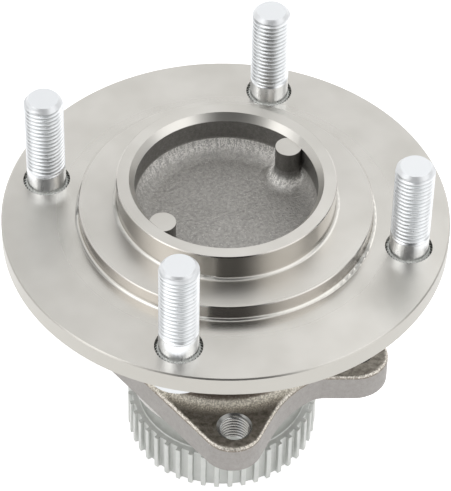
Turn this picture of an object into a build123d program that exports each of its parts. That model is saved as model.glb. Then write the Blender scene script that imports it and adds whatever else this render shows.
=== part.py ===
from build123d import *
from math import cos, pi, radians, sin, tan
import os

# A bolt-on rear wheel hub bearing unit. All sizes are in millimetres.
# Origin: centre of the wheel face. +Z points out towards the wheel.

# Small breaks shared by many edges
EDGE = 0.4
FINE_EDGE = 0.3
LEAD = 1.0
CORNER_ROUND = 1.2

# Wheel studs, M12 x 1.5 with a knurled collar
STUD_R = 6.0
STUD_TOP = 33.7
STUD_TIP_IN = 1.4
STUD_TIP_H = 1.6
KNURL_H = 1.25
STUD_HOLE_R = STUD_R + KNURL_H
COLLAR_DROP = 1.0
HEAD_LIP = 2.5
HEAD_R = STUD_HOLE_R + HEAD_LIP
HEAD_T = 4.6
HEAD_BREAK_IN = 2.0
HEAD_BREAK_H = 1.4

# Wheel side of the hub
STUD_CIRCLE_R = 114.3 / 2
STUD_COUNT = 4
STUD_PHASE = 36.4
FLANGE_EDGE = 4.3
FLANGE_R = STUD_CIRCLE_R + STUD_HOLE_R + FLANGE_EDGE
FLANGE_T = 7.0
FLANGE_BACK_BREAK = 0.6
STEP_LAND = 4.9
STEP_R = STUD_CIRCLE_R - STUD_HOLE_R - STEP_LAND
STEP_TOP = 5.2
PILOT_R = 33.5
PILOT_TOP = 14.45
POCKET_WALL = 5.55
POCKET_R = PILOT_R - POCKET_WALL
POCKET_MOUTH_OUT = 1.65
POCKET_MOUTH_DEPTH = 2.25
POCKET_DEPTH = 14.65
POCKET_FLOOR = PILOT_TOP - POCKET_DEPTH
POCKET_ROUND = 5.4
LUG_R = 4.0
LUG_INSET = 2.65
LUG_PHASE = 1.5
LUG_FOOT_ROUND = 4.4

# Ball rows
BALL_R = 5.16
BALL_CIRCLE_R = 24.0
BALL_SPACE = 1.9
BALL_COUNT = int(2 * pi * BALL_CIRCLE_R / (2 * BALL_R + BALL_SPACE))
BALL_CLEARANCE = 0.02
CONTACT_ANGLE = 35.0
GROOVE_R = 1.04 * BALL_R
CAGE_SIDE_GAP = 0.5
CAGE_END_GAP = 0.8
CAGE_RIM_T = 1.54
CAGE_RIM = BALL_R + CAGE_RIM_T
CAGE_CLAW = 2.3
POCKET_GAP = 0.14

# Race shoulders: how deep a ball sits below each one
INNER_SHOULDER_H = 3.16
INNER_RELIEF_H = 0.56
OUTER_SHOULDER_H = 2.96
OUTER_RELIEF_H = 0.96
HIGH_INNER_R = BALL_CIRCLE_R - BALL_R + INNER_SHOULDER_H
LOW_INNER_R = BALL_CIRCLE_R - BALL_R + INNER_RELIEF_H
HIGH_OUTER_R = BALL_CIRCLE_R + BALL_R - OUTER_SHOULDER_H
LOW_OUTER_R = BALL_CIRCLE_R + BALL_R - OUTER_RELIEF_H

# Back of the flange
ROOT_DEPTH = 8.0
ROOT_FACE_Z = -FLANGE_T - ROOT_DEPTH
ROOT_LAND = 3.0
ROOT_CONE_H = 2.5
ROOT_CONE_SHARE = 0.36
ROOT_ROUND = 4.0
HEAD_SPACE = 1.4

# Heights down the bearing, from the flange to the toothed ring
MOUTH_GAP = 2.5
OUTER_TOP = ROOT_FACE_Z - MOUTH_GAP
OUT_CASE_DEPTH = 4.0
OUT_CASE_END = OUTER_TOP - OUT_CASE_DEPTH
OUTBOARD_ROW_Z = OUT_CASE_END - CAGE_END_GAP - CAGE_RIM
ROW_SPACING = 26.0
INBOARD_ROW_Z = OUTBOARD_ROW_Z - ROW_SPACING
IN_CASE_TOP = INBOARD_ROW_Z - CAGE_RIM - CAGE_END_GAP
IN_CASE_DEPTH = 5.5
IN_CASE_END = IN_CASE_TOP - IN_CASE_DEPTH

# Seals
SHEET = 0.8
LIP_GAP = 0.04
OUT_LIP_REACH = 2.4
OUT_CASE_IN_R = HIGH_INNER_R + OUT_LIP_REACH
IN_LIP_REACH = 1.8
IN_CASE_IN_R = HIGH_INNER_R + SHEET + IN_LIP_REACH
SLINGER_GAP = 0.3
SLINGER_SIDE_GAP = 0.4
SLINGER_END = IN_CASE_END - SLINGER_GAP - SHEET
SLINGER_TOP_GAP = 1.3
SLINGER_TOP = IN_CASE_TOP - SLINGER_TOP_GAP
SLINGER_OUT_R = LOW_OUTER_R - SHEET - SLINGER_SIDE_GAP

# Stationary outer ring and its mounting plate
SLINGER_DROP = 0.4
OUTER_END = SLINGER_END - SLINGER_DROP
BARREL_WALL = 5.5
BARREL_R = LOW_OUTER_R + BARREL_WALL
SPIGOT_WALL = 2.8
SPIGOT_R = LOW_OUTER_R + SPIGOT_WALL
SPIGOT_H = 9.1
PLATE_UNDER = OUTER_END + SPIGOT_H
PLATE_T = 10.4
PLATE_TOP = PLATE_UNDER + PLATE_T
PLATE_EDGE_ROUND = 1.3
BAND_ROUND = 2.7
HOLE_INSET_X = 8.7
HOLE_X = BARREL_R - HOLE_INSET_X
HOLE_OUTSET_Y = 1.8
HOLE_Y = BARREL_R + HOLE_OUTSET_Y
BOLT_HOLE_R = 4.33
BOLT_MOUTH_DEPTH = 1.22

# Plate outline: on each end a trimmed lobe and a full lobe, with a waist between their flanks
SIDE_LEDGE = 1.2
SIDE_X = BARREL_R + SIDE_LEDGE
TRIM_LOBE_R = 9.5
TRIM_LOBE_SHIFT = -0.4
TRIM_FLANK = 25.5
FULL_LOBE_R = 10.35
FULL_LOBE_SHIFT = 0.35
FULL_FLANK = 38.5
WAIST_LEDGE = 2.2
WAIST_Y = BARREL_R + WAIST_LEDGE
WIDE_ROUND = 37.0
TIGHT_ROUND = 10.0

# Toothed ring
RING_GAP = 2.0
RING_TOP = OUTER_END - RING_GAP
COLLAR_H = 9.2
RIM_Z = RING_TOP - COLLAR_H
SKIRT_H = 14.0
RING_END = RIM_Z - SKIRT_H
RING_INSET = 0.24
TIP_R = SPIGOT_R - RING_INSET
TOOTH_H = 1.46
ROOT_R = TIP_R - TOOTH_H
TOOTH_W = 1.6
TEETH = 44
TOOTH_PHASE = -124.45
SKIRT_WALL = 3.1
COLLAR_WALL = 5.3
COLLAR_ROUND = 0.5
WEB_T = 3.2

# Spindle, inner ring and nut
INNER_RING_WALL = 4.9
SEAT_R = LOW_INNER_R - INNER_RING_WALL
RACE_LAND = 9.0
INNER_RING_TOP = INBOARD_ROW_Z + RACE_LAND
RING_SEAT_H = 8.5
INNER_RING_END = RING_TOP - RING_SEAT_H
THREAD_STEP = 2.5
THREAD_R = SEAT_R - THREAD_STEP
NUT_WALL = 4.0
NUT_FLATS = 2 * (THREAD_R + NUT_WALL)
NUT_T = 9.0
NUT_BREAK = 1.4
NUT_COLLAR_WALL = 1.6
NUT_COLLAR_H = 1.4
SPINDLE_PROUD = 0.6
SPINDLE_END = INNER_RING_END - NUT_T - NUT_COLLAR_H - SPINDLE_PROUD
CENTRE_R = 2.6
CENTRE_DEPTH = 4.0


def turned(corners):
    """Solid of revolution about Z from (radius, height) corners; a third number rounds the corner."""
    section = Sketch() + make_face(Polyline(*[(c[0], c[1]) for c in corners], close=True))
    for corner in corners:
        if len(corner) == 3:
            spot = Vector(corner[0], corner[1], 0)
            vertex = min(section.vertices(), key=lambda v: (Vector(v.X, v.Y, v.Z) - spot).length)
            section = fillet(vertex, corner[2])
    return revolve(Plane.XZ * section, Axis.Z)


def around(radius, count, phase):
    """Points spaced evenly on a circle, with their angles."""
    for i in range(count):
        angle = phase + i * 360 / count
        yield radius * cos(radians(angle)), radius * sin(radians(angle)), angle


def disc(radius, top, bottom):
    """Plain cylinder on the axis between two heights."""
    return Pos(0, 0, bottom) * Cylinder(radius, top - bottom, align=(Align.CENTER, Align.CENTER, Align.MIN))


def post(x, y, radius, top, bottom):
    """Plain upright cylinder at (x, y) between two heights."""
    return Pos(x, y, 0) * disc(radius, top, bottom)


def groove(row_z, towards_middle, on_outer_ring):
    """Ring that cuts a ball groove, set off centre so that the ball touches at the contact angle."""
    offset = GROOVE_R - BALL_R - BALL_CLEARANCE
    side = -1 if on_outer_ring else 1
    radius = BALL_CIRCLE_R + side * offset * cos(radians(CONTACT_ANGLE))
    height = row_z + side * towards_middle * offset * sin(radians(CONTACT_ANGLE))
    return Pos(0, 0, height) * Torus(radius, GROOVE_R)


def wheel_hub():
    """Flange, brake step, wheel pilot with its forged pocket, and the spindle with the outboard race."""
    mouth = PILOT_TOP - POCKET_MOUTH_DEPTH
    root_out = STUD_CIRCLE_R - HEAD_R - HEAD_SPACE
    root_in = LOW_OUTER_R + ROOT_LAND
    body = turned([
        (0, POCKET_FLOOR),
        (POCKET_R, POCKET_FLOOR, POCKET_ROUND),
        (POCKET_R, mouth),
        (POCKET_R + POCKET_MOUTH_OUT, PILOT_TOP),
        (PILOT_R - FINE_EDGE, PILOT_TOP),
        (PILOT_R, PILOT_TOP - FINE_EDGE),
        (PILOT_R, STEP_TOP, CORNER_ROUND),
        (STEP_R - FINE_EDGE, STEP_TOP),
        (STEP_R, STEP_TOP - FINE_EDGE),
        (STEP_R, 0, CORNER_ROUND),
        (FLANGE_R - EDGE, 0),
        (FLANGE_R, -EDGE),
        (FLANGE_R, -FLANGE_T + FLANGE_BACK_BREAK),
        (FLANGE_R - FLANGE_BACK_BREAK, -FLANGE_T),
        (root_out, -FLANGE_T, ROOT_ROUND),
        (root_in + ROOT_CONE_SHARE * (root_out - root_in), ROOT_FACE_Z + ROOT_CONE_H, ROOT_ROUND),
        (root_in, ROOT_FACE_Z),
        (HIGH_INNER_R, ROOT_FACE_Z, CORNER_ROUND),
        (HIGH_INNER_R, OUTBOARD_ROW_Z),
        (LOW_INNER_R, OUTBOARD_ROW_Z),
        (LOW_INNER_R, INNER_RING_TOP + FINE_EDGE),
        (LOW_INNER_R - FINE_EDGE, INNER_RING_TOP),
        (SEAT_R, INNER_RING_TOP),
        (SEAT_R, INNER_RING_END + LEAD),
        (THREAD_R, INNER_RING_END + LEAD),
        (THREAD_R, SPINDLE_END + LEAD),
        (THREAD_R - LEAD, SPINDLE_END),
        (CENTRE_R, SPINDLE_END),
        (0, SPINDLE_END + CENTRE_DEPTH),
    ])
    for x, y, _ in around(POCKET_R - LUG_INSET, 2, LUG_PHASE):
        body += Pos(x, y, 0) * pocket_lug(mouth)
    for x, y, _ in around(STUD_CIRCLE_R, STUD_COUNT, STUD_PHASE):
        body -= post(x, y, STUD_HOLE_R, STEP_TOP + 1, -FLANGE_T - 1)
    return body - groove(OUTBOARD_ROW_Z, -1, False)


def pocket_lug(top):
    """Round lug of the forged pocket, with a rounded foot on the floor."""
    foot_r = LUG_R + LUG_FOOT_ROUND + EDGE
    return turned([
        (0, POCKET_FLOOR - LEAD),
        (foot_r, POCKET_FLOOR - LEAD),
        (foot_r, POCKET_FLOOR),
        (LUG_R, POCKET_FLOOR, LUG_FOOT_ROUND),
        (LUG_R, top),
        (0, top),
    ])


def wheel_stud():
    """One pressed-in stud, standing on the axis."""
    head_end = -FLANGE_T - HEAD_T
    return turned([
        (0, head_end),
        (HEAD_R - HEAD_BREAK_IN, head_end),
        (HEAD_R, head_end + HEAD_BREAK_H),
        (HEAD_R, -FLANGE_T),
        (STUD_HOLE_R, -FLANGE_T),
        (STUD_HOLE_R, -COLLAR_DROP - EDGE),
        (STUD_HOLE_R - EDGE, -COLLAR_DROP),
        (STUD_R, -COLLAR_DROP),
        (STUD_R, STUD_TOP - STUD_TIP_H),
        (STUD_R - STUD_TIP_IN, STUD_TOP),
        (0, STUD_TOP),
    ])


def wheel_studs():
    """The four studs as separate solids."""
    stud = wheel_stud()
    return Compound([Pos(x, y, 0) * stud for x, y, _ in around(STUD_CIRCLE_R, STUD_COUNT, STUD_PHASE)])


def plate_outline():
    """Flat outline of the mounting plate: straight sides, and two bolt lobes with a waist at each end."""
    trim_x, trim_y = TRIM_LOBE_R - SIDE_X, -HOLE_Y - TRIM_LOBE_SHIFT
    full_x, full_y = SIDE_X - FULL_LOBE_R, -HOLE_Y - FULL_LOBE_SHIFT
    trim_turn, full_turn = radians(TRIM_FLANK), radians(FULL_FLANK)
    trim_end_x = trim_x + TRIM_LOBE_R * sin(trim_turn)
    trim_end_y = trim_y - TRIM_LOBE_R * cos(trim_turn)
    full_end_x = full_x - FULL_LOBE_R * sin(full_turn)
    full_end_y = full_y - FULL_LOBE_R * cos(full_turn)
    waist_from = trim_end_x - (WAIST_Y + trim_end_y) / tan(trim_turn)
    waist_to = full_end_x + (WAIST_Y + full_end_y) / tan(full_turn)
    waist = FilletPolyline(
        (trim_end_x, trim_end_y),
        (waist_from, -WAIST_Y),
        (waist_to, -WAIST_Y),
        (full_end_x, full_end_y),
        radius=[WIDE_ROUND, TIGHT_ROUND],
    )
    trim_lobe = CenterArc((trim_x, trim_y), TRIM_LOBE_R, 180, 90 + TRIM_FLANK)
    full_lobe = CenterArc((full_x, full_y), FULL_LOBE_R, -90 - FULL_FLANK, 90 + FULL_FLANK)
    side = Line((SIDE_X, full_y), (SIDE_X, -trim_y))
    half = Curve() + [trim_lobe, waist, full_lobe, side]
    return Sketch() + make_face(half + Rot(0, 0, 180) * half)


def mounting_plate():
    """Plate with its top edge rounded and the rough band where it meets the barrel."""
    outline = plate_outline()
    plate = Pos(0, 0, PLATE_UNDER) * extrude(outline, PLATE_TOP - PLATE_UNDER)
    plate = fillet(plate.edges().group_by(Axis.Z)[-1], PLATE_EDGE_ROUND)
    plate = chamfer(plate.edges().group_by(Axis.Z)[0], EDGE)
    sunk = PLATE_T / 4
    band = turned([
        (BARREL_R - sunk, PLATE_TOP - sunk),
        (BARREL_R - sunk, PLATE_TOP + BAND_ROUND),
        (BARREL_R, PLATE_TOP + BAND_ROUND),
        (BARREL_R, PLATE_TOP, BAND_ROUND - 0.01),
        (BARREL_R + BAND_ROUND, PLATE_TOP),
        (BARREL_R + BAND_ROUND, PLATE_TOP - sunk),
    ])
    inset = offset(outline, -PLATE_EDGE_ROUND / 2)
    band = band & (Pos(0, 0, PLATE_TOP - sunk) * extrude(inset, sunk + BAND_ROUND))
    core = disc(BARREL_R - LEAD, PLATE_TOP + BAND_ROUND + 1, PLATE_UNDER - 1)
    return (plate + band) - core


def outer_ring():
    """Stationary ring: barrel, mounting plate, knuckle spigot, both outer races and the bolt holes."""
    ring = turned([
        (LOW_OUTER_R + EDGE, OUTER_TOP),
        (BARREL_R - LEAD, OUTER_TOP),
        (BARREL_R, OUTER_TOP - LEAD),
        (BARREL_R, PLATE_UNDER),
        (SPIGOT_R, PLATE_UNDER),
        (SPIGOT_R, OUTER_END + LEAD),
        (SPIGOT_R - LEAD, OUTER_END),
        (LOW_OUTER_R + EDGE, OUTER_END),
        (LOW_OUTER_R, OUTER_END + EDGE),
        (LOW_OUTER_R, INBOARD_ROW_Z),
        (HIGH_OUTER_R, INBOARD_ROW_Z),
        (HIGH_OUTER_R, OUTBOARD_ROW_Z),
        (LOW_OUTER_R, OUTBOARD_ROW_Z),
        (LOW_OUTER_R, OUTER_TOP - EDGE),
    ])
    ring += mounting_plate()
    for x in (-HOLE_X, HOLE_X):
        for y in (-HOLE_Y, HOLE_Y):
            ring -= post(x, y, BOLT_HOLE_R, PLATE_TOP + 1, PLATE_UNDER - 1)
            ring -= Pos(x, y, 0) * bolt_mouth(PLATE_TOP, BOLT_MOUTH_DEPTH, 1)
            ring -= Pos(x, y, 0) * bolt_mouth(PLATE_UNDER, EDGE, -1)
    ring -= groove(OUTBOARD_ROW_Z, -1, True)
    return ring - groove(INBOARD_ROW_Z, 1, True)


def bolt_mouth(face_z, depth, out):
    """Countersink cutter for a tapped hole, opening towards out."""
    return turned([
        (0, face_z - out * depth),
        (BOLT_HOLE_R, face_z - out * depth),
        (BOLT_HOLE_R + depth, face_z),
        (BOLT_HOLE_R + depth, face_z + out),
        (0, face_z + out),
    ])


def inner_ring():
    """Separate inboard inner ring, pressed on the spindle."""
    ring = turned([
        (SEAT_R + EDGE, INNER_RING_TOP),
        (LOW_INNER_R - EDGE, INNER_RING_TOP),
        (LOW_INNER_R, INNER_RING_TOP - EDGE),
        (LOW_INNER_R, INBOARD_ROW_Z),
        (HIGH_INNER_R, INBOARD_ROW_Z),
        (HIGH_INNER_R, INNER_RING_END + EDGE),
        (HIGH_INNER_R - EDGE, INNER_RING_END),
        (SEAT_R, INNER_RING_END),
        (SEAT_R, INNER_RING_TOP - EDGE),
    ])
    return ring - groove(INBOARD_ROW_Z, 1, False)


def cage(row_z, outward):
    """Snap cage: a rim on the outward side and claws between the balls."""
    inside = HIGH_INNER_R + CAGE_SIDE_GAP
    outside = HIGH_OUTER_R - CAGE_SIDE_GAP
    low = row_z - outward * CAGE_CLAW
    high = row_z + outward * CAGE_RIM
    body = turned([(inside, low), (outside, low), (outside, high), (inside, high)])
    for x, y, angle in around(BALL_CIRCLE_R, BALL_COUNT, 0):
        pocket = Cylinder(BALL_R + POCKET_GAP, 2 * BALL_R, rotation=(0, 90, 0))
        body -= Pos(x, y, row_z) * Rot(0, 0, angle) * pocket
    return body


def outboard_seal_case():
    """Pressed sheet case seated in the outer ring's mouth."""
    return turned([
        (LOW_OUTER_R - SHEET, OUTER_TOP - EDGE / 4),
        (LOW_OUTER_R, OUTER_TOP - EDGE),
        (LOW_OUTER_R, OUT_CASE_END),
        (OUT_CASE_IN_R, OUT_CASE_END),
        (OUT_CASE_IN_R, OUT_CASE_END + SHEET),
        (LOW_OUTER_R - SHEET, OUT_CASE_END + SHEET),
    ])


def outboard_seal_lip():
    """Rubber bonded to the case, with a lip on the hub's land and one on its root face."""
    land = HIGH_INNER_R + LIP_GAP
    face = ROOT_FACE_Z - LIP_GAP
    neck = OUT_CASE_END + OUT_CASE_DEPTH * 0.6
    half = OUT_LIP_REACH / 2
    return turned([
        (OUT_CASE_IN_R, OUT_CASE_END),
        (OUT_CASE_IN_R - half, OUT_CASE_END),
        (land, OUT_CASE_END + SHEET),
        (land, OUT_CASE_END + 1.6 * SHEET),
        (land + half, OUT_CASE_END + 2 * SHEET),
        (OUT_CASE_IN_R - half / 2, neck),
        (OUT_CASE_IN_R + half / 3, face),
        (OUT_CASE_IN_R + half * 0.75, face),
        (OUT_CASE_IN_R + half / 3, neck),
        (OUT_CASE_IN_R + half, OUT_CASE_END + SHEET),
        (OUT_CASE_IN_R, OUT_CASE_END + SHEET),
    ])


def inboard_seal_case():
    """Pressed sheet case seated in the spigot's bore."""
    return turned([
        (LOW_OUTER_R - SHEET, IN_CASE_END),
        (LOW_OUTER_R, IN_CASE_END),
        (LOW_OUTER_R, IN_CASE_TOP),
        (IN_CASE_IN_R, IN_CASE_TOP),
        (IN_CASE_IN_R, IN_CASE_TOP - SHEET),
        (LOW_OUTER_R - SHEET, IN_CASE_TOP - SHEET),
    ])


def inboard_seal_lip():
    """Rubber bonded to the inboard case, running on the slinger."""
    land = HIGH_INNER_R + SHEET + LIP_GAP
    face = SLINGER_END + SHEET + LIP_GAP
    neck = IN_CASE_TOP - IN_CASE_DEPTH * 0.47
    half = IN_LIP_REACH / 2
    return turned([
        (IN_CASE_IN_R, IN_CASE_TOP),
        (IN_CASE_IN_R - half, IN_CASE_TOP),
        (land, SLINGER_TOP - SHEET / 4),
        (land, SLINGER_TOP - SHEET * 0.9),
        (land + half, SLINGER_TOP - SHEET),
        (IN_CASE_IN_R - half / 2, neck),
        (IN_CASE_IN_R + half * 0.75, face),
        (IN_CASE_IN_R + half * 1.25, face),
        (IN_CASE_IN_R + half / 2, neck),
        (IN_CASE_IN_R + half * 1.25, IN_CASE_TOP - SHEET),
        (IN_CASE_IN_R, IN_CASE_TOP - SHEET),
    ])


def inboard_slinger():
    """Sheet slinger pressed on the inner ring, turning with the hub."""
    return turned([
        (HIGH_INNER_R, SLINGER_TOP),
        (HIGH_INNER_R + SHEET, SLINGER_TOP),
        (HIGH_INNER_R + SHEET, SLINGER_END + SHEET),
        (SLINGER_OUT_R, SLINGER_END + SHEET),
        (SLINGER_OUT_R, SLINGER_END),
        (HIGH_INNER_R, SLINGER_END),
    ])


def tone_ring():
    """Toothed speed sensor ring: collar pressed on the inner ring, web and toothed skirt."""
    collar_r = HIGH_INNER_R + COLLAR_WALL
    skirt_in_r = ROOT_R - SKIRT_WALL
    body = turned([
        (HIGH_INNER_R + EDGE, RING_TOP),
        (collar_r - EDGE, RING_TOP),
        (collar_r, RING_TOP - EDGE),
        (collar_r, RIM_Z, COLLAR_ROUND),
        (ROOT_R, RIM_Z),
        (ROOT_R, RING_END),
        (skirt_in_r, RING_END),
        (skirt_in_r, RIM_Z - WEB_T, LEAD),
        (HIGH_INNER_R, RIM_Z - WEB_T),
        (HIGH_INNER_R, RING_TOP - EDGE),
    ])
    teeth = Sketch()
    for x, y, angle in around(ROOT_R, TEETH, TOOTH_PHASE):
        teeth += Pos(x, y) * Rot(0, 0, angle) * Rectangle(3 * TOOTH_H, TOOTH_W)
    teeth = (teeth & Circle(TIP_R)) - Circle(ROOT_R - TOOTH_H / 3)
    return body + Pos(0, 0, RING_END) * extrude(teeth, RIM_Z - RING_END)


def spindle_nut():
    """Hexagon nut with a thin collar that is staked to the spindle."""
    end = INNER_RING_END - NUT_T
    hexagon = RegularPolygon(NUT_FLATS / 2, 6, major_radius=False) - Circle(THREAD_R)
    corner_r = NUT_FLATS / 3 ** 0.5
    face_r = NUT_FLATS / 2 - EDGE
    envelope = turned([
        (0, INNER_RING_END),
        (face_r, INNER_RING_END),
        (corner_r, INNER_RING_END - NUT_BREAK),
        (corner_r, end + NUT_BREAK),
        (face_r, end),
        (0, end),
    ])
    nut = (Pos(0, 0, end) * extrude(hexagon, NUT_T)) & envelope
    collar = disc(THREAD_R + NUT_COLLAR_WALL, end, end - NUT_COLLAR_H)
    return nut + (collar - disc(THREAD_R, end, end - NUT_COLLAR_H))


os.makedirs("parts", exist_ok=True)
pieces = {
    "wheel_hub": wheel_hub(),
    "wheel_studs": wheel_studs(),
    "outer_ring": outer_ring(),
    "inner_ring": inner_ring(),
    "outboard_cage": cage(OUTBOARD_ROW_Z, 1),
    "inboard_cage": cage(INBOARD_ROW_Z, -1),
    "outboard_seal_case": outboard_seal_case(),
    "outboard_seal_lip": outboard_seal_lip(),
    "inboard_seal_case": inboard_seal_case(),
    "inboard_seal_lip": inboard_seal_lip(),
    "inboard_slinger": inboard_slinger(),
    "tone_ring": tone_ring(),
    "spindle_nut": spindle_nut(),
}
for row, height in (("outboard", OUTBOARD_ROW_Z), ("inboard", INBOARD_ROW_Z)):
    for number, (x, y, _) in enumerate(around(BALL_CIRCLE_R, BALL_COUNT, 0), 1):
        pieces[f"{row}_ball_{number:02d}"] = Pos(x, y, height) * Sphere(BALL_R)
for name, shape in pieces.items():
    export_step(shape, f"parts/{name}.step")
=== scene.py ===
"""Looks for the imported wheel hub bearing: camera, light, materials and the threads left off the solids."""

import bisect
import functools
import math

import bmesh
import bpy
from mathutils import Matrix, Vector, noise


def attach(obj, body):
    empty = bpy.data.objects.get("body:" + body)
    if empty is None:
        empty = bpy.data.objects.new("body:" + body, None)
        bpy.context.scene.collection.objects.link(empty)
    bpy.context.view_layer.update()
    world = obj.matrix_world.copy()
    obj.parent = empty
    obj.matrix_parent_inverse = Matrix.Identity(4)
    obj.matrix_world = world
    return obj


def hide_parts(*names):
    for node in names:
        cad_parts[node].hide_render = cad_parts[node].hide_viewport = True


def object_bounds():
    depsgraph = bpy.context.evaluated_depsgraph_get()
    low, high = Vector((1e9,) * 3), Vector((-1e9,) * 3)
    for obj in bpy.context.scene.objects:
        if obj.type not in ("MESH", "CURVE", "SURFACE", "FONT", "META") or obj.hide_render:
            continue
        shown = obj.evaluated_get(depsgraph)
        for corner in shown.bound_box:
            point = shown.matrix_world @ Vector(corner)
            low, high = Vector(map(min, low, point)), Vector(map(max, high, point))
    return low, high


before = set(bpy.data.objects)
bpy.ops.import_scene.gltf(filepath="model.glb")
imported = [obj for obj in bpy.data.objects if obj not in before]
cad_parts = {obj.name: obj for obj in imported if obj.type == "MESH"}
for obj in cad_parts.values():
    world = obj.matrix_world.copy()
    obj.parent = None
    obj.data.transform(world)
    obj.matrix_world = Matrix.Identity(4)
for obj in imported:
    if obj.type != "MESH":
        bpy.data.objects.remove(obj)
cad_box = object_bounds()

MM = 0.001

# Photograph and camera, from a pinhole fit to the flange, pilot, studs and toothed ring
IMAGE_LONG_PX = 491
FOCAL_PX = 2771.7
SENSOR_MM = 36.0
AZIMUTH = math.radians(-40.55)
ELEVATION = math.radians(45.516)
ROLL = math.radians(-1.26)
DISTANCE = 859.37 * MM
AIM = Vector((0.122, 0.0, -14.543)) * MM

# Wheel studs, repeated from the solids in millimetres
STUD_CIRCLE_R = 57.15
STUD_PHASE = 36.4
STUD_R = 6.0
STUD_TOP = 33.7
STUD_TIP_IN = 1.4
STUD_TIP_H = 1.6
STUD_ROOT_R = 5.14
STUD_PITCH = 1.5
NECK_TOP = 5.6
COLLAR_R = 7.25
COLLAR_TOP = -1.4
COLLAR_CONE_R = 6.15
COLLAR_CONE_TOP = -0.4
FLANGE_R = 68.7
FLANGE_T = 7.0
HEAD_R = 9.75
HEAD_T = 4.6
HEAD_BREAK_IN = 2.0
HEAD_BREAK_H = 1.4
KNURLS = 36
KNURL_DEPTH = 0.32
FINE_EDGE = 0.3
STUD_TURN = 1.9

# Brake step, pilot and the lugs in its pocket
STEP_R = 45.0
STEP_TOP = 5.2
PILOT_R = 33.5
PILOT_TOP = 14.45
LUG_R = 4.0
LUG_CIRCLE_R = 25.3
LUG_PHASE = math.radians(1.5)
POCKET_R = 28.15
POCKET_TOP = 12.12
STREAKS_PER_RAD = 30.0

# Outer ring
LOW_OUTER_R = 28.2
HIGH_OUTER_R = 26.2
BARREL_R = 33.7
SPIGOT_R = 31.0
OUTER_TOP = -17.5
OUTER_END = -69.5
PLATE_TOP = -50.0
PLATE_UNDER = -60.4
BAND_R = 36.4
EDGE_ROUND = 1.3
EDGE = 0.4
LEAD = 1.0
HOLE_X = 25.0
HOLE_Y = 35.5
SIDE_X = 34.9
TRIM_LOBE_R = 9.5
TRIM_LOBE_Y = -35.1
TRIM_FLANK = math.radians(25.5)
FULL_LOBE_R = 10.35
FULL_LOBE_Y = -35.85
FULL_FLANK = math.radians(38.5)
WAIST_Y = -35.9
WIDE_ROUND = 37.0
TIGHT_ROUND = 10.0
HOLE_R = 4.33
HOLE_ROOT_R = 4.97
HOLE_MOUTH_R = 5.55
HOLE_FOOT_R = 4.73
HOLE_PITCH = 1.25
OUTBOARD_ROW_Z = -29.0
INBOARD_ROW_Z = -55.0
RING_COLUMNS = 960
FINE_GRAIN = 1.9
COARSE_GRAIN = 0.8
BAND_ROUGH = 0.09
EDGE_ROUGH = 0.09
FACE_ROUGH = 0.02
SIDE_ROUGH = 0.02
BALL_R = 5.16
BALL_CIRCLE_R = 24.0
GROOVE_R = 1.04 * BALL_R
GROOVE_OFF = GROOVE_R - BALL_R - 0.02
CONTACT_ANGLE = math.radians(35.0)

# Toothed ring
INNER_RING_R = 22.0
RING_COLLAR_R = 27.3
RING_TOP = -71.5
RIM_Z = -80.7
RING_END = -94.7
ROOT_R = 29.3
TIP_R = 30.76
SKIRT_IN_R = 26.2
WEB_T = 3.2
TEETH = 44
TOOTH_W = 1.6
TOOTH_PHASE = math.radians(-124.45)
TOOTH_FILLET = 0.25
TOOTH_ROUND = 0.25
TOOTH_BREAK = 0.2
COLLAR_ROUND = 0.5

# Meshes, floor and light. Each card is a stretch of the studio with a level of its own: two
# degrees for its left side, its right side, its foot and its top, between which it fades, then the level.
WELD = 0.0003 * MM
SHARP_ANGLE = math.radians(30.0)
FLOOR_HALF = 6.0
FLOOR_GLOW = 0.85
FLOOR_ALBEDO = 0.55
WORLD_LEVEL = 0.9
CARDS = (
    (-80, -70, -40, -32, 8, 16, 34, 44, 1.6),
    (-80, -70, -50, -42, 34, 44, 60, 70, 1.4),
    (32, 40, 78, 88, 8, 16, 34, 44, 1.6),
    (44, 54, 82, 92, 34, 44, 60, 70, 1.4),
    (-50, -44, 16, 26, 8, 16, 36, 44, 0.03),
    (-38, -34, 24, 44, 24, 34, 80, 88, 0.04),
    (-168, -160, -110, -102, 28, 36, 50, 58, 0.3),
    (90, 95, 112, 117, 8, 20, 60, 75, 0.35),
)


def rgb(r, g, b):
    return (r, g, b, 1.0)


def grey(level):
    return (level, level, level, 1.0)


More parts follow.
